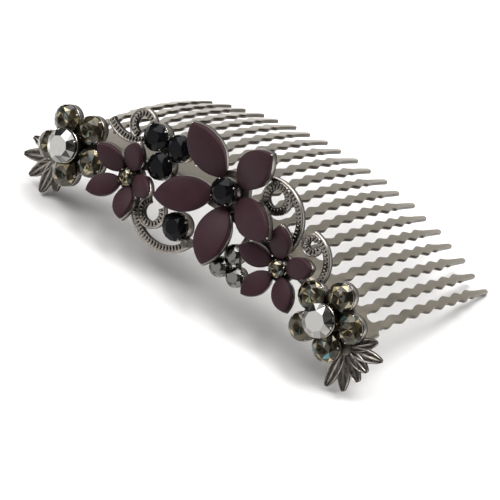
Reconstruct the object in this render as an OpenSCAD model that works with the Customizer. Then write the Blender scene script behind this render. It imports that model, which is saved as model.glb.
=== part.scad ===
// Decorative hair comb: a stamped metal comb blank with wavy teeth, and a
// jewelled spray of flowers, scrolls and leaves soldered along its front edge.
// It stands as it rests on a table: on the tips of its teeth and on its leaves.
// +X runs along the comb, +Y points from the jewels to the tooth tips, +Z is up.

/* [Comb blank] */
// Radius of the arch that the blank is bent to
arch_radius = 96.6; // [90:0.2:105]
// Number of teeth
tooth_count = 20; // [16:2:20]
// Distance from one tooth to the next along the arch
tooth_pitch = 4; // [3.8:0.1:4.2]
// Length of the longer teeth at the middle, from the front edge
tooth_length = 47.8; // [45:0.1:50]
// How much shorter every second tooth is
short_tooth_step = 0.8; // [0:0.1:2]
// How much shorter the outermost teeth are than those at the middle
end_tooth_step = 1.7; // [0:0.1:3]
// Width of a tooth
tooth_width = 1.8; // [1.6:0.1:2.4]
// Width of a tooth at its tip
tip_width = 1.1; // [0.8:0.1:1.4]
// Thickness of the plate that the teeth grow from
plate_gauge = 1; // [1:0.1:1.2]
// Thickness of the teeth
tooth_gauge = 0.8; // [0.7:0.05:0.8]
// Distance from the front edge to the ends of the slots
slot_start = 6; // [5:0.5:8]
// Length of one wave of a tooth
wave_length = 4.4; // [4:0.1:4.5]
// How far a wave swings to each side
wave_swing = 0.3; // [0.2:0.05:0.5]
// Number of waves on a tooth
wave_count = 7; // [5:1:7]
// Upward slope of the teeth at the front edge, in degrees
root_slope = 9.9; // [6:0.1:14]
// Radius that each tooth curves down with
tooth_bend = 116; // [105:1:130]
// How far the blank's middle lies to the right of the jewels' middle
blank_offset = 1.2; // [0:0.1:2]

/* [Face of the jewels] */
// Angle between the teeth's roots and the face that the jewels lie in
face_tilt = 78.3; // [75:0.1:82]
// Width of the backing bar
bar_width = 1.8; // [1.4:0.1:2.4]
// Depth of the backing bar
bar_depth = 0.8; // [0.6:0.1:1]

/* [Stones] */
// Radius of the round stones around the crystal flowers
crystal_r = 2.9; // [2.6:0.05:2.95]
// Radius of the mirror-grey stone in the middle of a crystal flower
hematite_r = 3.4; // [3.1:0.05:3.5]
// Radius of the jet stone in the middle of the centre flower
centre_jet_r = 2.8; // [2.6:0.05:3]
// Radius of the jet stones beside the centre flower
jet_r = 2.75; // [2.5:0.05:2.8]
// Radius of the jet stone in the lower scroll
lower_jet_r = 2.85; // [2.6:0.05:2.9]
// Radius of the three small stones below the centre flower
bead_r = 2; // [1.8:0.05:2.05]
// Radius of the stone in the middle of a small flower
small_centre_r = 1.8; // [1.6:0.05:1.85]
// Length, width and thickness of a large petal
large_petal = [12.4, 7, 2.4];
// Length, width and thickness of a small petal
small_petal = [7.4, 4.4, 1.9];
// Wall of the cups that hold the stones
cup_wall = 0.3; // [0.25:0.05:0.35]
// Floor of the cups
cup_floor = 0.5; // [0.4:0.1:0.6]

/* [Resting place] */
// Angle that the blank is pitched forward by when it rests
rest_pitch = 12; // [10:0.1:13]
// Height of the arch's crown above the table
crown_height = 19.37; // [18:0.01:21]
// How far the front edge lies in front of the middle of the comb's depth
front_reach = 18.05; // [18:0.01:24]
// How far the arch's crown lies to the left of the middle of the comb's length
crown_left = 0.58; // [-1:0.01:1]

/* [Hidden] */
$fn = 48;
FINE = 360;
CAST = [0.42, 0.40, 0.38];
STEEL = [0.62, 0.59, 0.54];
PLUM = [0.24, 0.16, 0.20];
JET = [0.04, 0.04, 0.05];
SMOKE = [0.36, 0.33, 0.26];
HEMATITE = [0.55, 0.56, 0.56];

// Clearance between a stone and the wall of its cup
ease = 0.05;
// How far the wall of a cup stands out past the stone that covers it
CUP_LIP = 0.05;
// How far the wall's inner face lies inside the stone's edge
UNDERCUT = cup_wall - CUP_LIP;
// Height of the step that a petal rests on its cup's wall with, as a part of its thickness
STEP = 0.35;
// How much more an oval shrinks at its points than at its sides
POINT_SHARE = 1.4;
// Heights in a round stone, as parts of its radius: pavilion, girdle and crown
PAVILION = 0.5;
GIRDLE = 0.12;
CROWN = 0.33;
// Width of a round stone's table and of its lowest facet, as parts of its radius
TABLE = 0.55;
CULET = 0.5;

// Each flower: place along the arch, place up the face, angles of its petals or stones,
// and how far its petals rise from the face, in degrees
LEFT_CRYSTAL = [-34.5, -1.1, [for (k = [0:4]) 115.5 - 72 * k]];
RIGHT_CRYSTAL = [33.7, -1.3, [for (k = [0:4]) 173 - 72 * k]];
LEFT_SMALL = [-20.1, -3.8, [144, 74, -4, -69, -144], 28];
RIGHT_SMALL = [19.4, -1.9, [190, 118, 42, -33, -105], 18];
CENTRE = [2, 3.5, [143, 61, -7, -74, -146], 20];
CRYSTAL_RING = 5.4;
CRYSTAL_SEAT = 1.1;
HEMATITE_SEAT = 4.2;
LARGE_START = 3.1;
SMALL_START = 1.9;
PETAL_SEAT = 1.4;
CENTRE_SEAT = 2.6;
SMALL_CENTRE_SEAT = 2;

// Clusters of round stones: the middle's place on the face, and each stone's place from there
JET_CLUSTER = [-13.5, 3.9];
JETS = [[-2.8, 1.9], [2.9, 1.8], [0.1, -3]];
BEAD_TRIO = [10.2, -8.5];
BEADS = [[-0.5, 2.4], [-1.9, -1.5], [2.3, -1]];
LOWER_JET = [-5, -8.2];
JET_SEAT = 1.4;
BEAD_SEAT = 1.2;
// Strips behind the cups: from the trio to the backing bar, and from the lower jet to its scroll
STRIP_W = 1.2;
BEAD_STRIP = 5.4;
JET_STRIP = 5;

// Scrolls: a plain outer rim and a taller, beaded inner band
RIM = 0.45;
RIM_H = 1.3;
BAND = 1.15;
BAND_H = 1.5;

// Leaves: angle and length of each
RIGHT_LEAVES = [[62, 6.6], [34, 7.8], [6, 6.2], [-17, 6.8], [-44, 8.3], [-69, 8.6]];
LEFT_LEAVES = [[152, 7], [181, 8.2], [213, 7.6], [244, 7.8], [272, 6.4]];
LEAF_WIDTH = 2.7;
LEAF_H = 0.9;
LEAF_SIDES = 24;
LEAF_DROOP = 4;
LEAF_SEAT = 0.1;
RIGHT_STEM = [40, -2.6];
LEFT_STEM = [-39.6, -4.2];

function numbered(name, count) = [for (k = [1:count]) str(name, "_", k)];

METAL_NODES = [
    "comb_blank", "backing_bar", "left_leaf_spray", "right_leaf_spray",
    "left_crystal_flower_cups", "right_crystal_flower_cups",
    "left_small_flower_cups", "right_small_flower_cups", "centre_flower_cups",
    "jet_cluster_cups", "lower_jet_cup", "bead_trio_cups",
    "top_left_scroll", "lower_left_scroll", "right_long_scroll", "right_short_scroll"
];
STONE_NODES = concat(
    numbered("left_crystal", 5), ["left_hematite"],
    numbered("right_crystal", 5), ["right_hematite"],
    numbered("left_small_petal", 5), ["left_small_centre"],
    numbered("right_small_petal", 5), ["right_small_centre"],
    numbered("large_petal", 5), ["centre_jet"],
    numbered("jet", 3), ["lower_jet"], numbered("grey_bead", 3)
);
NODES = concat(METAL_NODES, STONE_NODES);
node = "all";

// ---- Places ----

// Angle around the arch for a length along it
function turn(s) = s * 180 / (PI * arch_radius);

// Moves from the comb's own frame, with its origin on the crown, to its resting place
module at_rest() {
    translate([-crown_left, -front_reach, crown_height]) rotate([-rest_pitch, 0, 0]) children();
}

// Places a shape on the arch at length s from the crown
module on_arch(s) {
    translate([0, 0, -arch_radius]) rotate([0, turn(s), 0]) translate([0, 0, arch_radius]) children();
}

// Places a shape on the face of the jewels: s along the arch, u up the face, h out of it
module on_face(s, u, h = 0) {
    at_rest() on_arch(s) rotate([face_tilt, 0, 0]) translate([0, u, h]) children();
}

// Sweeps a profile of [radius, y] points around the arch, from one length to another
module arch_band(points, from_s, to_s) {
    translate([0, 0, -arch_radius]) rotate([-90, 0, 0]) rotate([0, 0, turn(from_s) - 90])
        rotate_extrude(angle = turn(to_s - from_s), $fn = FINE) polygon(points);
}

// ---- Comb blank ----

function tooth_place(i) = blank_offset + (i - (tooth_count - 1) / 2) * tooth_pitch;
function tooth_reach(i) =
    tooth_length - (1 - i % 2) * short_tooth_step
    - end_tooth_step * pow((tooth_place(i) - blank_offset) / (tooth_pitch * tooth_count / 2), 2);

WAVE_STEPS = 4;
SLOT_W = tooth_pitch - tooth_width;
PLATE_END = slot_start + SLOT_W;
WAVE_FROM = PLATE_END + 0.3;
// Length over which a tooth narrows after its last wave
TIP_TAPER = 2;
// The foot of a tooth is a little narrower and thinner than the plate that it is one with
FOOT_INSET = 0.15;
SKIN = (plate_gauge - tooth_gauge) / 2;
HALF_BLANK = tooth_pitch * (tooth_count - 1) / 2 + tooth_width / 2;

// One edge of a tooth: points along its waves, offset to one side
function tooth_edge(side) = [
    for (k = [0:wave_count * WAVE_STEPS])
        [wave_swing * sin(360 * k / WAVE_STEPS) + side * tooth_width / 2,
         WAVE_FROM + k * wave_length / WAVE_STEPS]
];
function reversed(points) = [for (k = [len(points) - 1:-1:0]) points[k]];
// Narrow, rounded end of a tooth
function tooth_tip(reach) =
    let (narrow = tip_width / 2 + 0.1, from = WAVE_FROM + wave_count * wave_length + TIP_TAPER)
    concat([[narrow, from]],
           [for (a = [0:30:180]) [tip_width / 2 * cos(a), reach - tip_width / 2 * (1 - sin(a))]],
           [[-narrow, from]]);

// Half-outline of a tooth's foot, inside the plate
function tooth_foot(side) = [
    for (y = [PLATE_END - 1, PLATE_END + 0.1]) [side * (tooth_width / 2 - FOOT_INSET), y]
];

module tooth(reach) {
    outline = concat(
        tooth_foot(1), tooth_edge(1), tooth_tip(reach), reversed(tooth_edge(-1)), reversed(tooth_foot(-1))
    );
    intersection() {
        translate([0, 0, -30]) linear_extrude(40) polygon(outline);
        bent_sheet();
    }
}

// The sheet of the teeth, curved down along its length
module bent_sheet() {
    translate([-5, tooth_bend * sin(root_slope), -tooth_bend * cos(root_slope)]) rotate([0, 90, 0])
        difference() {
            cylinder(r = tooth_bend - SKIN, h = 10, $fn = FINE);
            translate([0, 0, -1]) cylinder(r = tooth_bend - SKIN - tooth_gauge, h = 12, $fn = FINE);
        }
}

// Height of the sheet's top face above the crown, at a distance y from the front edge
function sheet_rise(y) =
    sqrt(pow(tooth_bend, 2) - pow(y - tooth_bend * sin(root_slope), 2)) - tooth_bend * cos(root_slope);

module plate() {
    rise = sheet_rise(PLATE_END);
    difference() {
        arch_band([[arch_radius, 0], [arch_radius + rise, PLATE_END],
                   [arch_radius + rise - plate_gauge, PLATE_END], [arch_radius - plate_gauge, 0]],
                  blank_offset - HALF_BLANK, blank_offset + HALF_BLANK);
        for (i = [0:tooth_count - 2]) on_arch(tooth_place(i) + tooth_pitch / 2)
            translate([0, slot_start + SLOT_W / 2, -5]) {
                cylinder(d = SLOT_W, h = 10);
                translate([-SLOT_W / 2, 0, 0]) cube([SLOT_W, SLOT_W, 10]);
            }
    }
}

module comb_blank() {
    color(STEEL) at_rest() {
        plate();
        for (i = [0:tooth_count - 1]) on_arch(tooth_place(i)) tooth(tooth_reach(i));
    }
}

// ---- Backing bar ----

// A point of the face's cross-section, as [radius, y] about the arch's axis
function face_point(u, h) =
    [arch_radius + u * sin(face_tilt) + h * cos(face_tilt), u * cos(face_tilt) - h * sin(face_tilt)];

BAR_TOP = 0.3;

module backing_bar() {
    color(CAST) at_rest()
        arch_band([face_point(BAR_TOP, bar_depth), face_point(BAR_TOP, -0.1),
                   face_point(BAR_TOP - bar_width, -0.1), face_point(BAR_TOP - bar_width, bar_depth)],
                  -36, 36);
}

// ---- Stones and cups ----

// A round faceted stone, standing on its lowest facet
module round_stone(r) {
    rotate_extrude() polygon([
        [0, 0], [CULET * r, 0], [r, PAVILION * r], [r, (PAVILION + GIRDLE) * r],
        [TABLE * r, (PAVILION + GIRDLE + CROWN) * r], [0, (PAVILION + GIRDLE + CROWN) * r]
    ]);
}

// Height of a round cup's rim, where the stone's slope passes the wall
function cup_rim(r) = PAVILION * r - UNDERCUT - ease;

// The space that a round stone takes in its cup and above it
module round_room(r) {
    cylinder(r = r - UNDERCUT, h = 2 * cup_rim(r));
    translate([0, 0, cup_rim(r)]) cylinder(r = r + ease, h = r);
}

// The cup of a round stone: its floor is below zero, and its base reaches down by depth
module round_cup(r, depth = cup_floor) {
    difference() {
        translate([0, 0, -depth]) cylinder(r = r + CUP_LIP, h = depth + cup_rim(r));
        cylinder(r = r - UNDERCUT, h = r);
    }
}

// A pointed oval, with its long axis along X
module oval(length, width, height) {
    r = (pow(length, 2) + pow(width, 2)) / (4 * width);
    intersection() {
        translate([0, r - width / 2, 0]) cylinder(r = r, h = height, $fn = 2 * $fn);
        translate([0, width / 2 - r, 0]) cylinder(r = r, h = height, $fn = 2 * $fn);
    }
}

// An oval whose edge lies inside a petal's edge, or outside it where inset is negative
module petal_oval(size, inset, height) {
    oval(size[0] - 2 * POINT_SHARE * inset, size[1] - 2 * inset, height);
}

// A petal stone, flat behind and domed in front, with a step that sits in its cup
module petal_stone(size) {
    dome = 1.25 * size[0];
    petal_oval(size, UNDERCUT + ease, size[2] / 2);
    intersection() {
        translate([0, 0, STEP * size[2]]) petal_oval(size, 0, size[2]);
        translate([0, 0, size[2] - dome]) sphere(r = dome, $fn = FINE / 2);
    }
}

// The space that a petal takes in its cup and above it
module petal_room(size) {
    petal_oval(size, UNDERCUT, size[2]);
    translate([0, 0, STEP * size[2] - ease]) petal_oval(size, -ease, 2 * size[2]);
}

module petal_cup(size) {
    difference() {
        translate([0, 0, -cup_floor]) petal_oval(size, -CUP_LIP, cup_floor + STEP * size[2] - ease);
        petal_oval(size, UNDERCUT, size[2]);
    }
}

// Places a petal around its flower's middle: start is its distance from the middle
module petal_place(flower, angle, start, size) {
    on_face(flower[0], flower[1], PETAL_SEAT) rotate([0, 0, angle]) translate([start, 0, 0])
        rotate([0, -flower[3], 0]) translate([size[0] / 2, 0, 0]) children();
}

module petal_flower_cups(flower, start, size, middle_r, middle_seat) {
    color(CAST) difference() {
        union() {
            on_face(flower[0], flower[1]) cylinder(r = start + 1, h = PETAL_SEAT - 0.1);
            for (a = flower[2]) petal_place(flower, a, start, size) petal_cup(size);
            on_face(flower[0], flower[1], middle_seat) round_cup(middle_r, middle_seat - 0.2);
        }
        for (a = flower[2]) petal_place(flower, a, start, size) petal_room(size);
        on_face(flower[0], flower[1], middle_seat) round_room(middle_r);
    }
}

// Places a stone of a crystal flower's ring
module ring_place(flower, angle) {
    on_face(flower[0], flower[1], CRYSTAL_SEAT) rotate([0, 0, angle]) translate([CRYSTAL_RING, 0, 0])
        children();
}

module crystal_flower_cups(flower) {
    post = hematite_r * 0.65;
    color(CAST) {
        on_face(flower[0], flower[1]) cylinder(r = CRYSTAL_RING, h = CRYSTAL_SEAT - cup_floor + 0.1);
        for (a = flower[2]) ring_place(flower, a) round_cup(crystal_r);
        on_face(flower[0], flower[1]) cylinder(r = post, h = HEMATITE_SEAT);
        on_face(flower[0], flower[1], HEMATITE_SEAT) difference() {
            translate([0, 0, -cup_floor])
                cylinder(r1 = post, r2 = hematite_r + CUP_LIP, h = cup_floor + cup_rim(hematite_r));
            cylinder(r1 = CULET * hematite_r + ease, r2 = hematite_r + ease, h = PAVILION * hematite_r);
        }
    }
}

// ---- Clusters of single stones ----

// Cups on a thin web that joins them behind
module cluster_cups(middle, places, seat, r) {
    color(CAST) on_face(middle[0], middle[1]) {
        for (p = places) translate([p[0], p[1], seat]) round_cup(r, seat - 0.2);
        translate([0, 0, 0.3]) linear_extrude(0.5) polygon(places);
    }
}

module bead_trio_cups() {
    cluster_cups(BEAD_TRIO, BEADS, BEAD_SEAT, bead_r);
    color(CAST) on_face(BEAD_TRIO[0], BEAD_TRIO[1], 0.35)
        translate([BEADS[0][0] - STRIP_W / 2, BEADS[0][1], 0]) cube([STRIP_W, BEAD_STRIP, 0.4]);
}

module lower_jet_cup() {
    color(CAST) on_face(LOWER_JET[0], LOWER_JET[1]) {
        translate([0, 0, JET_SEAT]) round_cup(lower_jet_r, JET_SEAT - 0.2);
        translate([-JET_STRIP, -STRIP_W / 2, 0.35]) cube([JET_STRIP, STRIP_W, 0.5]);
    }
}

// ---- Scrolls ----

// An arc of scroll about a centre, with its rim on the outside
module scroll_arc(r, from_a, to_a) {
    rotate([0, 0, from_a]) rotate_extrude(angle = to_a - from_a) polygon([
        [r - BAND, 0], [r + RIM, 0], [r + RIM, RIM_H], [r, RIM_H], [r, BAND_H], [r - BAND, BAND_H]
    ]);
}

// A rounded end or joint of a scroll
module knob(r, h) {
    cylinder(r = r, h = h);
}

module top_left_scroll() {
    color(CAST) {
        on_face(-20.6, 6.8) scroll_arc(2.8, -40, 250);
        on_face(-22.5, 10.9) scroll_arc(8, 222, 300);
    }
}

module lower_left_scroll() {
    color(CAST) {
        on_face(-9.2, -5.8) scroll_arc(8.7, 188, 330);
        on_face(-12.9, -8.5) scroll_arc(2.9, 120, 400);
        on_face(-1.1, -10) knob(0.8, 3.6);
    }
}

module right_long_scroll() {
    color(CAST) {
        on_face(10.7, 8) scroll_arc(2.9, 0, 360);
        on_face(11, 3.4) scroll_arc(7.9, -17, 116);
    }
}

module right_short_scroll() {
    color(CAST) {
        on_face(21.4, 5.9) scroll_arc(1.9, 70, 380);
        on_face(21.5, 2) scroll_arc(6.2, -3, 100);
    }
}

// ---- Leaves ----

module leaf(length) {
    difference() {
        linear_extrude(LEAF_H) scale([length / LEAF_WIDTH, 1]) circle(d = LEAF_WIDTH, $fn = LEAF_SIDES);
        translate([-length * 0.4, 0, LEAF_H + 0.25]) rotate([45, 0, 0]) translate([0, -0.4, -0.4])
            cube([length * 0.8, 0.8, 0.8]);
    }
}

module leaf_spray(stem, leaves) {
    color(CAST) {
        on_face(stem[0], stem[1]) cylinder(r = 1.5, h = LEAF_SEAT + LEAF_H);
        for (l = leaves) on_face(stem[0], stem[1], LEAF_SEAT) rotate([0, 0, l[0]]) rotate([0, LEAF_DROOP, 0])
            translate([l[1] / 2 + 0.2, 0, 0]) leaf(l[1]);
    }
}

module left_leaf_spray() {
    leaf_spray(LEFT_STEM, LEFT_LEAVES);
}

module right_leaf_spray() {
    leaf_spray(RIGHT_STEM, RIGHT_LEAVES);
}

// ---- Parts that repeat ----

module crystal(flower, k) {
    color(SMOKE) ring_place(flower, flower[2][k]) round_stone(crystal_r);
}

module hematite(flower) {
    color(HEMATITE) on_face(flower[0], flower[1], HEMATITE_SEAT) round_stone(hematite_r);
}

module small_petal_stone(flower, k) {
    color(PLUM) petal_place(flower, flower[2][k], SMALL_START, small_petal)
        petal_stone(small_petal);
}

module small_centre(flower) {
    color(SMOKE) on_face(flower[0], flower[1], SMALL_CENTRE_SEAT) round_stone(small_centre_r);
}

module large_petal_stone(k) {
    color(PLUM) petal_place(CENTRE, CENTRE[2][k], LARGE_START, large_petal)
        petal_stone(large_petal);
}

module centre_jet() {
    color(JET) on_face(CENTRE[0], CENTRE[1], CENTRE_SEAT) round_stone(centre_jet_r);
}

module cluster_stone(middle, place, seat, r) {
    on_face(middle[0], middle[1]) translate([place[0], place[1], seat]) round_stone(r);
}

module jet(k) {
    color(JET) cluster_stone(JET_CLUSTER, JETS[k], JET_SEAT, jet_r);
}

module lower_jet() {
    color(JET) on_face(LOWER_JET[0], LOWER_JET[1], JET_SEAT) round_stone(lower_jet_r);
}

module grey_bead(k) {
    color(HEMATITE) cluster_stone(BEAD_TRIO, BEADS[k], BEAD_SEAT, bead_r);
}

function wanted(name) = node == "all" || node == name;

if (wanted("comb_blank")) comb_blank();
if (wanted("backing_bar")) backing_bar();
if (wanted("left_leaf_spray")) left_leaf_spray();
if (wanted("right_leaf_spray")) right_leaf_spray();
if (wanted("left_crystal_flower_cups")) crystal_flower_cups(LEFT_CRYSTAL);
if (wanted("right_crystal_flower_cups")) crystal_flower_cups(RIGHT_CRYSTAL);
if (wanted("left_small_flower_cups"))
    petal_flower_cups(LEFT_SMALL, SMALL_START, small_petal, small_centre_r, SMALL_CENTRE_SEAT);
if (wanted("right_small_flower_cups"))
    petal_flower_cups(RIGHT_SMALL, SMALL_START, small_petal, small_centre_r, SMALL_CENTRE_SEAT);
if (wanted("centre_flower_cups"))
    petal_flower_cups(CENTRE, LARGE_START, large_petal, centre_jet_r, CENTRE_SEAT);
if (wanted("jet_cluster_cups")) cluster_cups(JET_CLUSTER, JETS, JET_SEAT, jet_r);
if (wanted("lower_jet_cup")) lower_jet_cup();
if (wanted("bead_trio_cups")) bead_trio_cups();
if (wanted("top_left_scroll")) top_left_scroll();
if (wanted("lower_left_scroll")) lower_left_scroll();
if (wanted("right_long_scroll")) right_long_scroll();
if (wanted("right_short_scroll")) right_short_scroll();
for (k = [0:4]) if (wanted(str("left_crystal_", k + 1))) crystal(LEFT_CRYSTAL, k);
for (k = [0:4]) if (wanted(str("right_crystal_", k + 1))) crystal(RIGHT_CRYSTAL, k);
if (wanted("left_hematite")) hematite(LEFT_CRYSTAL);
if (wanted("right_hematite")) hematite(RIGHT_CRYSTAL);
for (k = [0:4]) if (wanted(str("left_small_petal_", k + 1))) small_petal_stone(LEFT_SMALL, k);
for (k = [0:4]) if (wanted(str("right_small_petal_", k + 1))) small_petal_stone(RIGHT_SMALL, k);
if (wanted("left_small_centre")) small_centre(LEFT_SMALL);
if (wanted("right_small_centre")) small_centre(RIGHT_SMALL);
for (k = [0:4]) if (wanted(str("large_petal_", k + 1))) large_petal_stone(k);
if (wanted("centre_jet")) centre_jet();
for (k = [0:2]) if (wanted(str("jet_", k + 1))) jet(k);
if (wanted("lower_jet")) lower_jet();
for (k = [0:2]) if (wanted(str("grey_bead_", k + 1))) grey_bead(k);
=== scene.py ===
"""Decorative hair comb: a stamped comb blank with a jewelled spray of flowers, scrolls and leaves."""
import math
import random

import bmesh
import bpy
from mathutils import Matrix, Vector


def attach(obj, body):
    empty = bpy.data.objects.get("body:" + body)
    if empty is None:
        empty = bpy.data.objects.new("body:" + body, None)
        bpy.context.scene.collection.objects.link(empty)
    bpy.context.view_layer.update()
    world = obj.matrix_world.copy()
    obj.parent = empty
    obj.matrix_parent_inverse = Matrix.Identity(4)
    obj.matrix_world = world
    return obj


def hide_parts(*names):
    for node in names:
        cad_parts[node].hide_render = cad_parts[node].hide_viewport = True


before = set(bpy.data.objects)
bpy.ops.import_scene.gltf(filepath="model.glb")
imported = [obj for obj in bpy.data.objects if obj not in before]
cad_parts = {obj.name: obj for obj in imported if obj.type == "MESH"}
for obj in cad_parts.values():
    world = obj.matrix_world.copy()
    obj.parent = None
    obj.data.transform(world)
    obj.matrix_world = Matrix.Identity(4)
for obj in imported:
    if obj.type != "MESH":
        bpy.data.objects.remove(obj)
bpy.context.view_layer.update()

chance = random.Random(7)
MM = 0.001

# ---- The comb's own dimensions, in millimetres, as the CAD part has them ----

ARCH_R = 96.6
FACE_TILT = math.radians(78.3)
REST_PITCH = math.radians(12)
CROWN = Vector((-0.58, -18.05, 19.37))

TOOTH_COUNT = 20
PITCH = 4
TOOTH_W = 1.8
TIP_W = 1.1
TOOTH_LENGTH = 47.8
SHORT_STEP = 0.8
END_STEP = 1.7
BLANK_OFFSET = 1.2
SLOT_START = 6
WAVE_FROM = 8.5
WAVE_LENGTH = 4.4
WAVE_SWING = 0.3
WAVE_COUNT = 7
TIP_TAPER = 2
BEND_R = 116
ROOT_SLOPE = math.radians(9.9)
GAUGE = 1
TOOTH_GAUGE = 0.8
# The sheet has its full gauge where the slots start and thins to the teeth's over this length.
# Its gauge goes on growing at the same rate towards the front edge, to 1.5, where the CAD has 1.
GAUGE_TAPER = 2.5

EASE = 0.05
CUP_LIP = 0.05
UNDERCUT = 0.25
CUP_FLOOR = 0.5
STEP = 0.35
POINT_SHARE = 1.4
LARGE_PETAL = (12.4, 7, 2.4)
SMALL_PETAL = (7.4, 4.4, 1.9)
CRYSTAL_R = 2.9
HEMATITE_R = 3.4
CENTRE_JET_R = 2.8
JET_R = 2.75
LOWER_JET_R = 2.85
BEAD_R = 2
SMALL_CENTRE_R = 1.8

# Each flower: place along the arch, place up the face, angles, rise of the petals in degrees
LEFT_CRYSTAL = (-34.5, -1.1, [115.5 - 72 * k for k in range(5)], 0)
RIGHT_CRYSTAL = (33.7, -1.3, [173 - 72 * k for k in range(5)], 0)
LEFT_SMALL = (-20.1, -3.8, [144, 74, -4, -69, -144], 28)
RIGHT_SMALL = (19.4, -1.9, [190, 118, 42, -33, -105], 18)
CENTRE = (2, 3.5, [143, 61, -7, -74, -146], 20)
CRYSTAL_RING = 5.4
CRYSTAL_SEAT = 1.1
HEMATITE_SEAT = 4.2
LARGE_START = 3.1
SMALL_START = 1.9
PETAL_SEAT = 1.4
CENTRE_SEAT = 2.6
SMALL_CENTRE_SEAT = 2
JET_CLUSTER = (-13.5, 3.9)
JETS = [(-2.8, 1.9), (2.9, 1.8), (0.1, -3)]
BEAD_TRIO = (10.2, -8.5)
BEADS = [(-0.5, 2.4), (-1.9, -1.5), (2.3, -1)]
LOWER_JET = (-5, -8.2)
JET_SEAT = 1.4
BEAD_SEAT = 1.2
RIGHT_STEM = (40, -2.6)
LEFT_STEM = (-39.6, -4.2)
RIGHT_LEAVES = [(62, 6.6), (34, 7.8), (6, 6.2), (-17, 6.8), (-44, 8.3), (-69, 8.6)]
LEFT_LEAVES = [(152, 7), (181, 8.2), (213, 7.6), (244, 7.8), (272, 6.4)]
LEAF_W = 2.7
LEAF_H = 0.9
LEAF_SEAT = 0.1
LEAF_DROOP = math.radians(4)


# ---- Places ----

def slide(x, y, z):
    return Matrix.Translation((x, y, z))


def turn(angle, axis):
    return Matrix.Rotation(angle, 4, axis)


def on_arch(s):
    """Place on the arch's top at length s from the crown: Z out of the arch, Y towards the tooth tips."""
    at_rest = Matrix.Translation(CROWN) @ turn(-REST_PITCH, "X")
    return at_rest @ slide(0, 0, -ARCH_R) @ turn(s / ARCH_R, "Y") @ slide(0, 0, ARCH_R)


def on_face(s, u, h=0):
    """Place on the face of the jewels: s along the arch, u up the face, h out of it."""
    return on_arch(s) @ turn(FACE_TILT, "X") @ slide(0, u, h)


def ring_place(flower, k):
    angle = math.radians(flower[2][k])
    return on_face(flower[0], flower[1], CRYSTAL_SEAT) @ turn(angle, "Z") @ slide(CRYSTAL_RING, 0, 0)


def petal_place(flower, k, start, size):
    angle = math.radians(flower[2][k])
    rise = turn(-math.radians(flower[3]), "Y")
    return (on_face(flower[0], flower[1], PETAL_SEAT) @ turn(angle, "Z") @ slide(start, 0, 0)
            @ rise @ slide(size[0] / 2, 0, 0))


# ---- Shader maths ----

class Wire:
    """The value on a socket. Arithmetic on it adds Math nodes."""

    def __init__(self, look, socket):
        self.look = look
        self.socket = socket

    def __add__(self, other):
        return self.look.math("ADD", self, other)

    def __sub__(self, other):
        return self.look.math("SUBTRACT", self, other)

    def __rsub__(self, other):
        return self.look.math("SUBTRACT", other, self)

    def __mul__(self, other):
        return self.look.math("MULTIPLY", self, other)

    __radd__ = __add__
    __rmul__ = __mul__


class Look:
    """A material with a Principled shader, and one method that adds any other node."""

    def __init__(self, name):
        self.material = bpy.data.materials.new(name)
        self.material.use_nodes = True
        self.tree = self.material.node_tree
        self.tree.nodes.clear()
        self.shader = self.tree.nodes.new("ShaderNodeBsdfPrincipled")
        output = self.tree.nodes.new("ShaderNodeOutputMaterial")
        self.tree.links.new(self.shader.outputs[0], output.inputs[0])

    def plug(self, socket, value):
        if isinstance(value, Wire):
            self.tree.links.new(value.socket, socket)
        else:
            socket.default_value = value

    def node(self, kind, settings=None, inputs=None, output=0):
        """Adds a node: its settings are set first, then the values or links of its sockets."""
        made = self.tree.nodes.new(kind)
        for key, value in (settings or {}).items():
            setattr(made, key, value)
        for key, value in (inputs or {}).items():
            self.plug(made.inputs[key], value)
        return Wire(self, made.outputs[output])

    def math(self, operation, a, b=0.0, clamp=False):
        return self.node("ShaderNodeMath", {"operation": operation, "use_clamp": clamp}, {0: a, 1: b})

    def mix(self, factor, a, b):
        settings = {"data_type": "RGBA"}
        return self.node("ShaderNodeMix", settings, {0: factor, 6: a, 7: b}, output=2)

    def spread(self, value, low, high, to_low=0.0, to_high=1.0):
        inputs = {0: value, 1: low, 2: high, 3: to_low, 4: to_high}
        return self.node("ShaderNodeMapRange", {"clamp": True}, inputs)

    def noise(self, scale, detail=3.0, stretch=(1, 1, 1)):
        """Noise whose scale is counted per millimetre."""
        place = self.node("ShaderNodeTexCoord", output=3)
        scaled = [scale / MM * part for part in stretch]
        mapped = self.node("ShaderNodeMapping", None, {0: place, 3: scaled})
        return self.node("ShaderNodeTexNoise", None, {0: mapped, 2: 1.0, 3: detail})

    def attribute(self, name):
        return self.node("ShaderNodeAttribute", {"attribute_name": name}, output=2)

    def bump(self, height, strength, distance_mm):
        inputs = {"Height": height, "Strength": strength, "Distance": distance_mm * MM}
        return self.node("ShaderNodeBump", None, inputs)

    def finish(self, **values):
        """Sets the Principled shader's sockets, named with underscores for spaces."""
        for key, value in values.items():
            self.plug(self.shader.inputs[key.replace("_", " ")], value)
        return self.material


def satin_steel():
    look = Look("satin_steel")
    clouds = look.noise(0.12, 3)
    brushed = look.noise(0.9, 4, (1.6, 0.12, 1.6))
    satin = look.mix(clouds, (0.26, 0.234, 0.19, 1), (0.37, 0.337, 0.28, 1))
    # The sheet's side faces are painted near black: painted shade, the dark that those faces reflect.
    colour = look.mix(look.attribute("side"), satin, (0.075, 0.066, 0.055, 1))
    rough = look.spread(clouds * 0.5 + brushed * 0.5, 0.3, 0.7, 0.26, 0.38)
    return look.finish(Base_Color=colour, Metallic=1.0, Roughness=rough,
                       Normal=look.bump(brushed, 0.25, 0.03))


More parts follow.
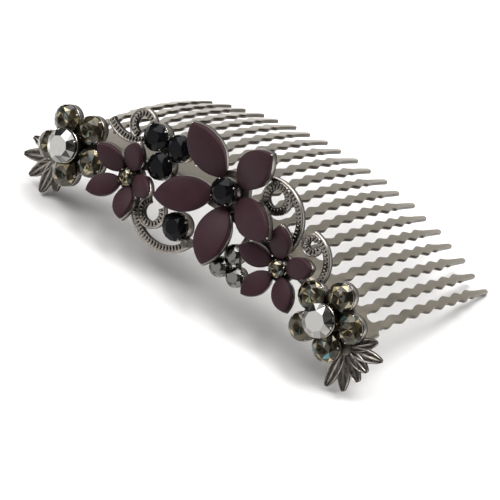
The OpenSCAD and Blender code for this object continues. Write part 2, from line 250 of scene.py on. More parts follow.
def antique_silver_and_shade():
    """Cast metal, dark where it is low and polished where it is high: the dark is patina in the hollows and
    painted shade on low parts, side walls and undersides.
    """
    look = Look("antique_silver_and_shade")
    grain = look.noise(1.4, 5)
    high = look.attribute("height")
    shade_and_polish = look.spread(high + grain * 0.3, 0.42, 1.15)
    colour = look.mix(shade_and_polish, (0.011, 0.009, 0.007, 1), (0.43, 0.395, 0.355, 1))
    rough = look.spread(shade_and_polish, 0, 1, 0.5, 0.22)
    return look.finish(Base_Color=colour, Metallic=1.0, Roughness=rough,
                       Normal=look.bump(grain, 0.3, 0.06))


def frosted_plum():
    look = Look("frosted_plum")
    frost = look.noise(9, 2)
    clouds = look.noise(0.35, 2)
    colour = look.mix(clouds, (0.024, 0.009, 0.013, 1), (0.039, 0.016, 0.0215, 1))
    rough = look.spread(clouds, 0.3, 0.7, 0.46, 0.58)
    return look.finish(Base_Color=colour, Roughness=rough, Normal=look.bump(frost, 0.12, 0.02),
                       Specular_IOR_Level=0.16)


def jet_glass():
    look = Look("jet_glass")
    painted_glint = look.attribute("painted_glint")
    smear = look.noise(0.6, 3)
    # The facets are painted a touch lighter or darker: painted reflection.
    colour = look.mix(painted_glint, (0.001, 0.001, 0.0015, 1), (0.005, 0.0055, 0.007, 1))
    rough = look.spread(smear, 0.3, 0.7, 0.05, 0.14)
    return look.finish(Base_Color=colour, Roughness=rough, Specular_IOR_Level=0.12)


def hematite_mirror():
    look = Look("hematite_mirror")
    painted_glint = look.attribute("painted_glint")
    smear = look.noise(0.8, 3)
    # Each facet is painted its own brightness, from dark to bright: painted reflection.
    colour = look.mix(painted_glint, (0.05, 0.05, 0.048, 1), (0.62, 0.61, 0.58, 1))
    rough = look.spread(smear, 0.3, 0.7, 0.07, 0.16)
    return look.finish(Base_Color=colour, Metallic=1.0, Roughness=rough)


def smoke_foil_painted_glints():
    """Smoke-coloured glass with foil behind: every facet is painted a random light or dark glint over the
    smoke colour, and some a blue flash, all painted reflection.
    """
    look = Look("smoke_foil_painted_glints")
    painted_glint = look.attribute("painted_glint")
    flash = look.attribute("flash")
    cloud = look.noise(1.1, 3)
    # The smoke colour is painted darker or lighter by facet, with cream painted highlights on the brightest:
    # painted reflection.
    shade = look.math("ADD", painted_glint, (cloud - 0.5) * 0.5, clamp=True)
    dark = look.mix(look.spread(shade, 0.05, 0.7), (0.008, 0.006, 0.003, 1), (0.075, 0.06, 0.026, 1))
    with_painted_highlight = look.mix(look.spread(shade, 0.7, 1.0), dark, (0.5, 0.42, 0.25, 1))
    colour = look.mix(flash * shade, with_painted_highlight, (0.05, 0.2, 0.23, 1))
    rough = look.spread(cloud, 0.3, 0.7, 0.06, 0.16)
    return look.finish(Base_Color=colour, Metallic=0.5, Roughness=rough, Coat_Weight=0.4)


# ---- Mesh helpers ----

def paint(bm, name, value_of):
    """Stores a number on every corner: value_of takes a face and a corner."""
    layer = bm.loops.layers.float_color.new(name)
    for face in bm.faces:
        for corner in face.loops:
            value = value_of(face, corner)
            corner[layer] = (value, value, value, 1)


def piece(name, bm, material, nodes, smooth_angle=None):
    """Makes a bmesh in millimetres a finished object that stands for its CAD nodes."""
    bmesh.ops.transform(bm, matrix=Matrix.Scale(MM, 4), verts=bm.verts)
    mesh = bpy.data.meshes.new(name)
    for face in bm.faces:
        face.smooth = smooth_angle is not None
    if smooth_angle is not None:
        for edge in bm.edges:
            edge.smooth = edge.calc_face_angle(math.pi) < smooth_angle
    bm.to_mesh(mesh)
    bm.free()
    obj = bpy.data.objects.new(name, mesh)
    bpy.context.scene.collection.objects.link(obj)
    mesh.materials.append(material)
    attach(obj, "root")
    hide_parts(*nodes)
    return obj


def add_in(bm, part, place):
    """Moves a small bmesh to its place and joins it to a larger one."""
    bmesh.ops.recalc_face_normals(part, faces=part.faces)
    bmesh.ops.transform(part, matrix=place, verts=part.verts)
    mesh = bpy.data.meshes.new("part")
    part.to_mesh(mesh)
    part.free()
    bm.from_mesh(mesh)
    bpy.data.meshes.remove(mesh)


def height_paint(bm):
    """Marks how high each corner of a casting stands, from 0 in the recesses to 1 on the edges."""
    layer = bm.verts.layers.float.get("high")
    # The castings' colour paints low corners dark: patina in the hollows and painted shade.
    paint(bm, "height", lambda face, corner: corner.vert[layer])


def casting():
    bm = bmesh.new()
    bm.verts.layers.float.new("high")
    return bm


def set_high(part, value_of):
    layer = part.verts.layers.float.get("high") or part.verts.layers.float.new("high")
    for vert in part.verts:
        vert[layer] = value_of(vert.co)


# ---- Stones ----

# Heights of a stone's zones and places of its facets, as shares of its radius
PAVILION = 0.5
GIRDLE = 0.12
CROWN_H = 0.33
FOOT_R = 0.5
STAR_R = 0.8
STAR_H = 0.815
FACETS = 8
# A face whose normal points this much along Z is flat on top
FLAT = 0.99
# Share of the facets that flash
FLASH_SHARE = 0.06


def cut_stone(r, table, star):
    """A round faceted stone on its lowest facet: table, crown, girdle and pavilion."""
    bm = bmesh.new()
    top = (PAVILION + GIRDLE + CROWN_H) * r
    half = math.pi / FACETS
    rings = [(FOOT_R * r, 0, FACETS, 0), (r, PAVILION * r, 2 * FACETS, 0),
             (r, (PAVILION + GIRDLE) * r, 2 * FACETS, 0), (table * r, top, FACETS, half)]
    if star:
        rings.append((STAR_R * r, STAR_H * r, FACETS, 0))
    for radius, z, count, phase in rings:
        place = slide(0, 0, z) @ turn(phase, "Z")
        bmesh.ops.create_circle(bm, segments=count, radius=radius, matrix=place)
    bmesh.ops.convex_hull(bm, input=bm.verts)
    bmesh.ops.dissolve_limit(bm, angle_limit=math.radians(1), verts=bm.verts, edges=bm.edges)
    return bm


def inner_pattern(bm, r):
    """Sinks the table a little and cuts it into the wedges that the back facets show through it."""
    tables = [face for face in bm.faces if face.normal.z > FLAT]
    bmesh.ops.inset_region(bm, faces=tables, thickness=0.1 * r)
    tables = [face for face in bm.faces if face.normal.z > FLAT and len(face.verts) > 4]
    rim = list({edge for face in tables for edge in face.edges})
    bmesh.ops.subdivide_edges(bm, edges=rim, cuts=1)
    tables = [face for face in bm.faces if face.normal.z > FLAT and len(face.verts) > 12]
    hubs = bmesh.ops.poke(bm, faces=tables)["verts"]
    for hub in hubs:
        hub.co.z -= 0.12 * r
    bm.normal_update()


def painted_glint_of():
    """A facet's painted glint: most are dark or middling, a few are bright highlights."""
    part = chance.random()
    if part < 0.4:
        return chance.uniform(0, 0.2)
    if part < 0.86:
        return chance.uniform(0.3, 0.6)
    return chance.uniform(0.8, 1)


def stone(name, r, place, material, inner=False, table=0.55, star=True, bright=0.5, dim=1.0):
    """A round stone. Every facet draws its own painted glint, but the painted brightness of a plain table is
    given.
    """
    bm = cut_stone(r, table, star)
    bmesh.ops.recalc_face_normals(bm, faces=bm.faces)
    flat = {face for face in bm.faces if face.normal.z > FLAT}
    if inner:
        inner_pattern(bm, r)
    # A plain table is painted the given brightness, a painted highlight; every other facet draws a random
    # painted glint.
    painted_glints = {face: dim * (bright if face in flat and not inner else painted_glint_of()) for face in bm.faces}
    flashes = {face: 1.0 if chance.random() > 1 - FLASH_SHARE else 0.0 for face in bm.faces}
    paint(bm, "painted_glint", lambda face, corner: painted_glints[face])
    paint(bm, "flash", lambda face, corner: flashes[face])
    bmesh.ops.transform(bm, matrix=place @ turn(chance.uniform(0, math.tau), "Z"), verts=bm.verts)
    return piece("show_" + name, bm, material, [name])


def oval_half_width(length, width, x):
    """Half the width of a pointed oval at a distance x from its middle."""
    r = (length ** 2 + width ** 2) / (4 * width)
    return math.sqrt(max(r * r - x * x, 0)) - (r - width / 2)


OVAL_STEPS = 56


def oval_ring(bm, length, width, z):
    """A closed ring of edges in the outline of a pointed oval."""
    made = bmesh.ops.create_circle(bm, segments=OVAL_STEPS, radius=1, matrix=slide(0, 0, z))["verts"]
    for vert in made:
        side = 1 if vert.co.y >= 0 else -1
        x = vert.co.x * length / 2
        tight = abs(vert.co.y) < 1e-6
        vert.co.y = 0 if tight else side * oval_half_width(length, width, x)
        vert.co.x = x
    return made


def edges_of(bm, verts):
    ring = set(verts)
    return [edge for edge in bm.edges if edge.verts[0] in ring and edge.verts[1] in ring]


def ring_stack(bm, rings, close_high=True):
    """Bridges rings of equal count one after another, and closes the low end and, if asked, the high one."""
    loops = [edges_of(bm, ring) for ring in rings]
    for low, high in zip(loops, loops[1:]):
        bmesh.ops.bridge_loops(bm, edges=low + high)
    bmesh.ops.contextual_create(bm, geom=loops[0])
    if close_high:
        bmesh.ops.contextual_create(bm, geom=loops[-1])


def inset_size(size, inset):
    """Length and width of a pointed oval drawn in by an inset, which its points take up sooner."""
    return size[0] - 2 * POINT_SHARE * inset, size[1] - 2 * inset


def petal_stone(size):
    """A frosted petal: a step that sits in the cup, a thin edge and a domed front."""
    length, width, height = size
    bm = bmesh.new()

    def top(x, y):
        return height - (x * x + y * y) / (2.5 * length)

    step = inset_size(size, UNDERCUT + EASE)
    edge = STEP * height
    rings = [
        oval_ring(bm, *step, 0),
        oval_ring(bm, *step, edge - 0.05),
        oval_ring(bm, *inset_size(size, 0.04), edge),
        oval_ring(bm, *inset_size(size, 0), edge + 0.06),
    ]
    for inset, drop in ((0, 0.22), (0.03, 0.12), (0.09, 0.05), (0.2, 0.01)):
        ring = oval_ring(bm, *inset_size(size, inset), 0)
        for vert in ring:
            vert.co.z = max(top(vert.co.x, vert.co.y) - drop, edge + 0.08)
        rings.append(ring)
    for part in (0.8, 0.6, 0.4, 0.2):
        ring = oval_ring(bm, length * part, width * part, 0)
        for vert in ring:
            vert.co.z = top(vert.co.x, vert.co.y)
        rings.append(ring)
    ring_stack(bm, rings, close_high=False)
    caps = bmesh.ops.contextual_create(bm, geom=edges_of(bm, rings[-1]))["faces"]
    bmesh.ops.poke(bm, faces=caps)
    bmesh.ops.recalc_face_normals(bm, faces=bm.faces)
    return bm


def petal(name, size, place):
    bm = petal_stone(size)
    bmesh.ops.transform(bm, matrix=place, verts=bm.verts)
    return piece("show_" + name, bm, PLUM, [name], math.radians(50))


# ---- Cups ----

# A claw is an egg shape with these half-lengths, leaned over the stone's edge
CLAW = (0.17, 0.24, 0.34)
PETAL_CLAW = (0.28, 0.2, 0.32)
CLAW_LEAN = -0.45
CLAW_IN = 0.1
CLAW_SINK = 0.08
CLAWS = 4
# Turned solids stop this far short of their axis
CORE = 0.01
CAST_SMOOTH = math.radians(40)


def cup_rim(r):
    """Height of a round cup's rim, where the stone's slope passes the wall."""
    return PAVILION * r - UNDERCUT - EASE


def turned(profile, steps=40):
    """A solid turned from a closed profile of (radius, height) points."""
    bm = bmesh.new()
    verts = [bm.verts.new((r, 0, z)) for r, z in profile]
    edges = [bm.edges.new(pair) for pair in zip(verts, verts[1:] + verts[:1])]
    bmesh.ops.spin(bm, geom=verts + edges, cent=(0, 0, 0), axis=(0, 0, 1), angle=math.tau,
                   steps=steps, use_merge=True)
    bmesh.ops.remove_doubles(bm, verts=bm.verts, dist=1e-4)
    return bm


def claw(bm, place, size):
    part = bmesh.new()
    bmesh.ops.create_icosphere(part, subdivisions=2, radius=1)
    bmesh.ops.transform(part, matrix=Matrix.Diagonal((*size, 1)), verts=part.verts)
    set_high(part, lambda co: 1.0)
    add_in(bm, part, place)


def round_claws(bm, r, edge, place, first):
    """Claws around a stone's edge, the first at a share of the step between two of them."""
    for k in range(CLAWS):
        around = place @ turn(math.tau * (k + first) / CLAWS, "Z")
        claw(bm, around @ slide(r - CLAW_IN, 0, edge - CLAW_SINK) @ turn(CLAW_LEAN, "Y"), CLAW)


def round_cup(bm, r, place, depth=CUP_FLOOR):
    """A cup whose wall stands just under the stone's edge, and claws bent over that edge."""
    inner = r - UNDERCUT
    outer = r + CUP_LIP
    rim = cup_rim(r)
    profile = [(CORE, -depth), (outer - 0.15, -depth), (outer - 0.05, -depth + 0.1), (outer, rim - 0.1),
               (outer - 0.06, rim), (inner + 0.04, rim), (inner, rim - 0.06), (inner, 0.02), (CORE, 0.02)]
    part = turned(profile)
    # The cup is painted darker towards its floor, under the stone: patina and painted shade.
    set_high(part, lambda co: min(1, max(0.2, 0.2 + 0.8 * (co.z + depth) / (rim + depth))))
    add_in(bm, part, place)
    round_claws(bm, r, (PAVILION + GIRDLE) * r, place, 0.5)


def petal_cup(bm, size, place):
    """A pointed cup with a thin wall under the petal's edge, and a claw at each point."""
    height = size[2]
    lip = STEP * height - EASE
    part = bmesh.new()
    rings = [
        oval_ring(part, *inset_size(size, 0.4), -CUP_FLOOR),
        oval_ring(part, *inset_size(size, 0.05), -CUP_FLOOR * 0.7),
        oval_ring(part, *inset_size(size, -CUP_LIP), lip - 0.15),
        oval_ring(part, *inset_size(size, -CUP_LIP + 0.03), lip),
        oval_ring(part, *inset_size(size, UNDERCUT - 0.05), lip),
        oval_ring(part, *inset_size(size, UNDERCUT), lip - 0.08),
        oval_ring(part, *inset_size(size, UNDERCUT), -0.02),
    ]
    ring_stack(part, rings)
    bmesh.ops.recalc_face_normals(part, faces=part.faces)
    # The cup is painted darker towards its floor, under the petal: patina and painted shade.
    set_high(part, lambda co: min(1, max(0.15, 0.15 + 0.85 * (co.z + CUP_FLOOR) / (lip + CUP_FLOOR))))
    add_in(bm, part, place)
    for side in (-1, 1):
        claw(bm, place @ slide(side * (size[0] / 2 - 0.2), 0, lip + 0.05), PETAL_CLAW)


def boss(bm, r, height, place):
    """A low round boss with a softened edge."""
    part = turned([(CORE, 0), (r, 0), (r, height - 0.15), (r - 0.15, height), (CORE, height)])
    set_high(part, lambda co: 0.45)
    add_in(bm, part, place)


def strip(bm, place, length, width, low, high):
    """A straight web that joins two cups."""
    part = bmesh.new()
    bmesh.ops.create_cube(part, size=1)
    scale = Matrix.Diagonal((length, width, high - low, 1))
    bmesh.ops.transform(part, matrix=slide(length / 2, 0, (low + high) / 2) @ scale, verts=part.verts)
    bmesh.ops.bevel(part, geom=part.edges, offset=0.1, affect="EDGES", segments=2, profile=0.5,
                    material=-1)
    set_high(part, lambda co: 0.5)
    add_in(bm, part, place)


def crystal_flower_cups(name, flower):
    bm = casting()
    middle = on_face(flower[0], flower[1])
    boss(bm, CRYSTAL_RING, CRYSTAL_SEAT - CUP_FLOOR + 0.1, middle)
    for k in range(5):
        round_cup(bm, CRYSTAL_R, ring_place(flower, k) @ turn(math.pi / 4, "Z"))
    post = HEMATITE_R * 0.65
    floor = HEMATITE_SEAT
    rim = floor + cup_rim(HEMATITE_R)
    outer = HEMATITE_R + CUP_LIP
    inner = HEMATITE_R - UNDERCUT
    seat = HEMATITE_R * 0.5 + 0.05
    profile = [(CORE, 0), (post, 0), (post, floor - 0.5), (outer, rim - 0.1), (outer - 0.06, rim),
               (inner + 0.04, rim), (inner, rim - 0.05), (seat, floor), (CORE, floor)]
    part = turned(profile, 48)
    # The cup is painted darker low down, under the stone: patina and painted shade.
    set_high(part, lambda co: min(1, max(0.15, (co.z - 2) / (rim - 2))))
    add_in(bm, part, middle)
    round_claws(bm, HEMATITE_R, floor + (PAVILION + GIRDLE) * HEMATITE_R, middle, 0.25)
    height_paint(bm)
    return piece("show_" + name, bm, SILVER, [name], CAST_SMOOTH)


def petal_flower_cups(name, flower, start, size, middle_r, middle_seat):
    bm = casting()
    middle = on_face(flower[0], flower[1])
    boss(bm, start + 1, PETAL_SEAT - 0.1, middle)
    for k in range(5):
        petal_cup(bm, size, petal_place(flower, k, start, size))
    seat = on_face(flower[0], flower[1], middle_seat)
    round_cup(bm, middle_r, seat, depth=middle_seat - 0.4)
    height_paint(bm)
    return piece("show_" + name, bm, SILVER, [name], CAST_SMOOTH)


def cluster_cups(name, middle, places, seat, r, extra=None):
    bm = casting()
    for x, y in places:
        round_cup(bm, r, on_face(*middle, seat) @ slide(x, y, 0), depth=seat - 0.2)
    for (ax, ay), (bx, by) in zip(places, places[1:] + places[:1]):
        run = math.hypot(bx - ax, by - ay)
        place = on_face(*middle) @ slide(ax, ay, 0) @ turn(math.atan2(by - ay, bx - ax), "Z")
        if run > 0:
            strip(bm, place, run, 1.2, 0.3, 0.8)
    if extra:
        (x, y), angle, length = extra
        strip(bm, on_face(*middle) @ slide(x, y, 0) @ turn(angle, "Z"), length, 1.2, 0.35, 0.75)
    height_paint(bm)
    return piece("show_" + name, bm, SILVER, [name], CAST_SMOOTH)


# ---- Scrolls ----

RIM = 0.45
RIM_H = 1.3
BAND = 1.15
BAND_H = 1.5
RIB_PITCH = 0.74
RIB = (0.53, 0.25, 0.4)
ARC_STEP = 0.45
PATINA_AND_SHADE = 0.02


def scroll_arc(bm, place, r, from_a, to_a):
    """A swept arc with a plain rim outside and a ribbed band inside."""
    start = math.radians(from_a)
    sweep = math.radians(to_a - from_a)
    part = bmesh.new()
    outer = r + RIM
    inner = r - BAND
    floor = BAND_H - 0.4
    profile = [(inner, 0), (outer - 0.1, 0), (outer, 0.2), (outer, RIM_H - 0.15), (outer - 0.15, RIM_H),
               (r + 0.08, RIM_H), (r, RIM_H - 0.08), (r, floor), (inner + 0.06, floor), (inner, floor - 0.06)]
    verts = [part.verts.new((x * math.cos(start), x * math.sin(start), z)) for x, z in profile]
    edges = [part.edges.new(pair) for pair in zip(verts, verts[1:] + verts[:1])]
    whole = abs(sweep - math.tau) < 1e-6
    steps = max(8, int(sweep * r / ARC_STEP))
    if not whole:
        part.faces.new(verts)
    bmesh.ops.spin(part, geom=verts + edges + part.faces[:], cent=(0, 0, 0), axis=(0, 0, 1), angle=sweep,
                   steps=steps, use_merge=whole)
    bmesh.ops.recalc_face_normals(part, faces=part.faces)
    # All but the rim's top, outer wall and band floor included, is painted dark, and so are the ribs' lower
    # halves: patina and painted shade.
    set_high(part, lambda co: 0.85 if co.z > RIM_H - 0.2 else PATINA_AND_SHADE)
    add_in(bm, part, place)
    middle = r - BAND * 0.5
    count = max(1, round(sweep * middle / RIB_PITCH))
    for k in range(count):
        angle = start + sweep * (k + 0.5) / count
        rib = bmesh.new()
        bmesh.ops.create_icosphere(rib, subdivisions=2, radius=1)
        bmesh.ops.transform(rib, matrix=Matrix.Diagonal((*RIB, 1)), verts=rib.verts)
        set_high(rib, lambda co: 0.78 if co.z > 0.25 else PATINA_AND_SHADE)
        add_in(bm, rib, place @ turn(angle, "Z") @ slide(middle, 0, floor))


def scroll(name, arcs, knobs=()):
    """A scroll of arcs (s, u, radius, from and to in degrees) and knobs (s, u, radius, height)."""
    bm = casting()
    for s, u, r, from_a, to_a in arcs:
        scroll_arc(bm, on_face(s, u), r, from_a, to_a)
    for s, u, r, height in knobs:
        boss(bm, r, height, on_face(s, u))
    height_paint(bm)
    return piece("show_" + name, bm, SILVER, [name], CAST_SMOOTH)


# ---- Leaves ----

def leaf(bm, length, place):
    """A blunt oval leaf with a raised edge, a ridge down the middle and a sunken panel on each side."""
    part = bmesh.new()
    bmesh.ops.create_grid(part, x_segments=24, y_segments=16, size=0.5)
    bmesh.ops.recalc_face_normals(part, faces=part.faces)
    if next(iter(part.faces)).normal.z < 0:
        bmesh.ops.reverse_faces(part, faces=part.faces)
    layer = part.verts.layers.float.new("high")
    made = bmesh.ops.extrude_face_region(part, geom=part.faces[:])["geom"]
    upper = {item for item in made if isinstance(item, bmesh.types.BMVert)}
    for vert in part.verts:
        along = vert.co.x + 0.5
        across = vert.co.y * 2
        half = LEAF_W / 2 * math.sin(math.pi * (0.02 + 0.96 * along)) ** 0.6
        ridge = math.exp(-(across / 0.13) ** 2)
        edge = math.exp(-((abs(across) - 0.88) / 0.14) ** 2)
        veins = 0.05 * math.cos(9 * math.pi * (along - 0.35 * abs(across)))
        top = LEAF_H - 0.28 + 0.22 * max(ridge, edge) + 0.05 * veins
        vert.co = Vector((along * length + 0.2, across * half, top if vert in upper else 0))
        # The sunken panels and the leaf's underside are painted darker than its ridge and edge: patina and
        # painted shade.
        vert[layer] = 0.34 + 0.6 * max(ridge, edge) + veins if vert in upper else 0.15
    bmesh.ops.recalc_face_normals(part, faces=part.faces)
    add_in(bm, part, place)


def leaf_spray(name, stem, leaves):
    bm = casting()
    boss(bm, 1.5, LEAF_SEAT + LEAF_H, on_face(*stem))
    for k, (angle, length) in enumerate(leaves):
        place = on_face(*stem, LEAF_SEAT) @ turn(math.radians(angle), "Z") @ turn(LEAF_DROOP, "Y")
        leaf(bm, length, place)
    height_paint(bm)
    return piece("show_" + name, bm, SILVER, [name], math.radians(60))


# ---- Comb blank and backing bar ----

def tooth_place(i):
    return BLANK_OFFSET + (i - (TOOTH_COUNT - 1) / 2) * PITCH


def tooth_reach(i):
    part = (tooth_place(i) - BLANK_OFFSET) / (PITCH * TOOTH_COUNT / 2)
    return TOOTH_LENGTH - (1 - i % 2) * SHORT_STEP - END_STEP * part ** 2


def sheet_rise(y):
    """Height of the sheet's top above the crown at a distance y from the front edge."""
    back = y - BEND_R * math.sin(ROOT_SLOPE)
    return math.sqrt(BEND_R ** 2 - back ** 2) - BEND_R * math.cos(ROOT_SLOPE)


def tooth_rows(reach):
    """Rows along a tooth, from the front edge: distance, sideways swing and half its width.

    The plate's rows are half a pitch wide each way, so at both ends it runs past the CAD's by 1.1.
    """
    rows = [(y, 0, PITCH / 2) for y in (0, 1.5, 3, 4.5, SLOT_START)]
    radius = (PITCH - TOOTH_W) / 2
    for k in range(1, 7):
        angle = math.pi / 2 * k / 6
        rows.append((SLOT_START + radius * (1 - math.cos(angle)), 0, PITCH / 2 - radius * math.sin(angle)))
    wave_end = WAVE_FROM + WAVE_COUNT * WAVE_LENGTH
    steps = WAVE_COUNT * 12
    for k in range(steps + 1):
        y = WAVE_FROM + (wave_end - WAVE_FROM) * k / steps
        rows.append((y, WAVE_SWING * math.sin(math.tau * WAVE_COUNT * k / steps), TOOTH_W / 2))
    narrow = TIP_W / 2 + 0.1
    straight = reach - TIP_W / 2 - wave_end - TIP_TAPER
    for part in (0.25, 0.5, 0.75, 1):
        rows.append((wave_end + TIP_TAPER * part, 0, TOOTH_W / 2 + (narrow - TOOTH_W / 2) * part))
    for part in (0.5, 1):
        rows.append((wave_end + TIP_TAPER + straight * part, 0, narrow - 0.1 * part))
    for degrees in (25, 50, 70, 84):
        angle = math.radians(degrees)
        rows.append((reach - TIP_W / 2 * (1 - math.sin(angle)), 0, TIP_W / 2 * math.cos(angle)))
    return rows


def comb_blank():
    """Each tooth grows from one edge, row by row. The plate's rows meet those of the next tooth."""
    bm = bmesh.new()
    for i in range(TOOTH_COUNT):
        rows = tooth_rows(tooth_reach(i))
        centre = tooth_place(i)
        y, swing, half = rows[0]
        across = [-1, -0.7, 0, 0.7, 1]
        line = [bm.verts.new((centre + swing + part * half, y, 0)) for part in across]
        edges = [bm.edges.new(pair) for pair in zip(line, line[1:])]
        for y, swing, half in rows[1:]:
            made = bmesh.ops.extrude_edge_only(bm, edges=edges)["geom"]
            verts = sorted((g for g in made if isinstance(g, bmesh.types.BMVert)), key=lambda v: v.co.x)
            edges = [g for g in made if isinstance(g, bmesh.types.BMEdge)]
            for part, vert in zip(across, verts):
                vert.co = Vector((centre + swing + part * half, y, 0))
    bmesh.ops.remove_doubles(bm, verts=bm.verts, dist=0.01)
    bmesh.ops.recalc_face_normals(bm, faces=bm.faces)
    if bm.faces[0].normal.z < 0:
        bmesh.ops.reverse_faces(bm, faces=bm.faces)
    made = bmesh.ops.extrude_face_region(bm, geom=bm.faces[:])["geom"]
    upper = {g for g in made if isinstance(g, bmesh.types.BMVert)}
    for vert in bm.verts:
        vert.co.z = 0 if vert in upper else -1
    bmesh.ops.recalc_face_normals(bm, faces=bm.faces)
    sharp = [edge for edge in bm.edges if edge.calc_face_angle(0) > math.radians(60)]
    bmesh.ops.bevel(bm, geom=sharp, offset=0.2, affect="EDGES", segments=3, profile=0.5, material=-1)
    bm.normal_update()
    # Marks the sheet's side faces, which the steel's colour paints dark as painted shade.
    paint(bm, "side", lambda face, corner: 1.0 if abs(face.normal.z) < 0.3 else 0.0)
    for vert in bm.verts:
        s, y, depth = vert.co
        gauge = TOOTH_GAUGE + (GAUGE - TOOTH_GAUGE) * max(0, 1 - (y - SLOT_START) / GAUGE_TAPER)
        skin = (GAUGE - gauge) / 2
        lift = sheet_rise(min(y, TOOTH_LENGTH)) - skin + depth * gauge
        vert.co = on_arch(s) @ Vector((0, y, lift))
    return piece("show_comb_blank", bm, STEEL, ["comb_blank"], math.radians(50))


BAR_HALF = 36
BAR_STEPS = 48
BAR_PROFILE = [(0.3, 0.65), (0.15, 0.8), (-1.35, 0.8), (-1.5, 0.65), (-1.5, -0.1), (0.3, -0.1)]


def backing_bar():
    """A flat strip that follows the arch behind the jewels."""
    bm = casting()
    part = bmesh.new()
    geom = [part.faces.new([part.verts.new((-BAR_HALF, u, h)) for u, h in BAR_PROFILE])]
    for k in range(1, BAR_STEPS + 1):
        made = bmesh.ops.extrude_face_region(part, geom=geom)["geom"]
        moved = [g for g in made if isinstance(g, bmesh.types.BMVert)]
        geom = [g for g in made if isinstance(g, bmesh.types.BMFace)]
        for vert in moved:
            vert.co.x = -BAR_HALF + 2 * BAR_HALF * k / BAR_STEPS
    inner = [f for f in part.faces
             if abs(f.normal.x) > 0.9 and abs(abs(f.calc_center_median().x) - BAR_HALF) > 0.1]
    bmesh.ops.delete(part, geom=inner, context="FACES")
    set_high(part, lambda co: 0.55)
    for vert in part.verts:
        vert.co = on_face(*vert.co).to_translation()
    add_in(bm, part, Matrix.Identity(4))
    height_paint(bm)
    return piece("show_backing_bar", bm, SILVER, ["backing_bar"], CAST_SMOOTH)


# ---- Stage ----

# The camera: the point it looks at, its distance, its bearing from the front, its height and its tilt
AIM = Vector((3.34, -9.48, 5.72)) * MM
CAMERA_DISTANCE = 1.4855
BEARING = math.radians(33.39)
HEIGHT_ANGLE = math.radians(37.2)
ROLL = math.radians(12.66)
SENSOR = 36
LENS = 549


def camera():
    data = bpy.data.cameras.new("camera")
    data.lens = LENS
    data.sensor_width = SENSOR
    data.clip_start = 0.05
    data.clip_end = 20
    eye = bpy.data.objects.new("camera", data)
    swing = turn(BEARING, "Z") @ turn(math.pi / 2 - HEIGHT_ANGLE, "X") @ turn(ROLL, "Z")
    eye.matrix_world = Matrix.Translation(AIM) @ swing @ slide(0, 0, CAMERA_DISTANCE)
    bpy.context.scene.collection.objects.link(eye)
    bpy.context.scene.camera = eye


def lamp(name, place, aim, size, watts):
    data = bpy.data.lights.new(name, "AREA")
    data.shape = "RECTANGLE"
    data.size, data.size_y = size
    data.energy = watts
    light = bpy.data.objects.new(name, data)
    light.location = place
    light.rotation_euler = (Vector(aim) - Vector(place)).to_track_quat("-Z", "Y").to_euler()
    bpy.context.scene.collection.objects.link(light)


def pale_floor():
    bm = bmesh.new()
    bmesh.ops.create_grid(bm, x_segments=1, y_segments=1, size=3)
    mesh = bpy.data.meshes.new("floor")
    bm.to_mesh(mesh)
    bm.free()
    floor = bpy.data.objects.new("floor", mesh)
    bpy.context.scene.collection.objects.link(floor)
    look = Look("white_paper")
    tint = look.noise(0.002, 2)
    colour = look.mix(tint, (0.8, 0.79, 0.785, 1), (0.82, 0.81, 0.805, 1))
    mesh.materials.append(look.finish(Base_Color=colour, Roughness=0.9))


def studio():
    world = bpy.data.worlds.new("studio")
    world.use_nodes = True
    bpy.context.scene.world = world
    sky = world.node_tree.nodes["Background"]
    sky.inputs["Color"].default_value = (1, 1, 1, 1)
    sky.inputs["Strength"].default_value = 0.16
    bpy.context.scene.view_settings.view_transform = "Standard"
    lamp("key", (0.2, 0.32, 1.2), (0, 0, 0), (0.8, 0.8), 19)
    lamp("fill", (-0.6, -0.35, 1.1), (0, 0, 0.01), (1.1, 1.1), 16)
    lamp("back_card", (-0.3, 1.4, 0.4), (0, 0, 0.01), (2.4, 0.7), 3)
    lamp("front_card", (-0.44, -0.9, 0.11), (0, 0, 0.02), (0.6, 0.22), 0.32)


# ---- Build ----

STEEL = satin_steel()
SILVER = antique_silver_and_shade()
PLUM = frosted_plum()
JET = jet_glass()
HEMATITE = hematite_mirror()
SMOKE = smoke_foil_painted_glints()

camera()
studio()
pale_floor()

comb_blank()
backing_bar()
leaf_spray("left_leaf_spray", LEFT_STEM, LEFT_LEAVES)
leaf_spray("right_leaf_spray", RIGHT_STEM, RIGHT_LEAVES)

for side, flower in (("left", LEFT_CRYSTAL), ("right", RIGHT_CRYSTAL)):
    crystal_flower_cups(side + "_crystal_flower_cups", flower)
    for k in range(5):
        stone(f"{side}_crystal_{k + 1}", CRYSTAL_R, ring_place(flower, k), SMOKE, inner=True)
    stone(side + "_hematite", HEMATITE_R, on_face(flower[0], flower[1], HEMATITE_SEAT), HEMATITE,
          table=0.62, star=False, bright=0.9)

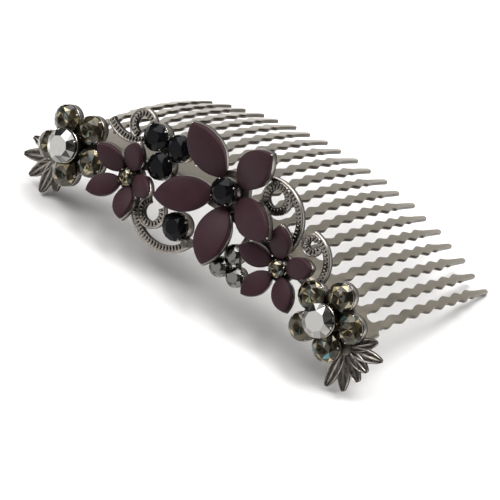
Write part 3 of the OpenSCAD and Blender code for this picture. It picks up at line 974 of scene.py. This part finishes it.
for side, flower in (("left", LEFT_SMALL), ("right", RIGHT_SMALL)):
    petal_flower_cups(side + "_small_flower_cups", flower, SMALL_START, SMALL_PETAL,
                      SMALL_CENTRE_R, SMALL_CENTRE_SEAT)
    for k in range(5):
        place = petal_place(flower, k, SMALL_START, SMALL_PETAL)
        petal(f"{side}_small_petal_{k + 1}", SMALL_PETAL, place)
    stone(side + "_small_centre", SMALL_CENTRE_R, on_face(flower[0], flower[1], SMALL_CENTRE_SEAT), SMOKE,
          inner=True)

petal_flower_cups("centre_flower_cups", CENTRE, LARGE_START, LARGE_PETAL, CENTRE_JET_R, CENTRE_SEAT)
for k in range(5):
    petal(f"large_petal_{k + 1}", LARGE_PETAL, petal_place(CENTRE, k, LARGE_START, LARGE_PETAL))
stone("centre_jet", CENTRE_JET_R, on_face(CENTRE[0], CENTRE[1], CENTRE_SEAT), JET)

cluster_cups("jet_cluster_cups", JET_CLUSTER, JETS, JET_SEAT, JET_R)
for k, (x, y) in enumerate(JETS):
    stone(f"jet_{k + 1}", JET_R, on_face(*JET_CLUSTER, JET_SEAT) @ slide(x, y, 0), JET)
cluster_cups("lower_jet_cup", LOWER_JET, [(0, 0)], JET_SEAT, LOWER_JET_R, ((0, 0), math.pi, 5))
stone("lower_jet", LOWER_JET_R, on_face(*LOWER_JET, JET_SEAT), JET)
cluster_cups("bead_trio_cups", BEAD_TRIO, BEADS, BEAD_SEAT, BEAD_R, (BEADS[0], math.pi / 2, 5.4))
for k, (x, y) in enumerate(BEADS):
    stone(f"grey_bead_{k + 1}", BEAD_R, on_face(*BEAD_TRIO, BEAD_SEAT) @ slide(x, y, 0), HEMATITE,
          bright=0.9, dim=0.3)

scroll("top_left_scroll", [(-20.6, 6.8, 2.8, -40, 250), (-22.5, 10.9, 8, 222, 300)])
scroll("lower_left_scroll", [(-9.2, -5.8, 8.7, 188, 330), (-12.9, -8.5, 2.9, 120, 400)],
       [(-1.1, -10, 0.8, 3.6)])
scroll("right_long_scroll", [(10.7, 8, 2.9, 0, 360), (11, 3.4, 7.9, -17, 116)])
scroll("right_short_scroll", [(21.4, 5.9, 1.9, 70, 380), (21.5, 2, 6.2, -3, 100)])
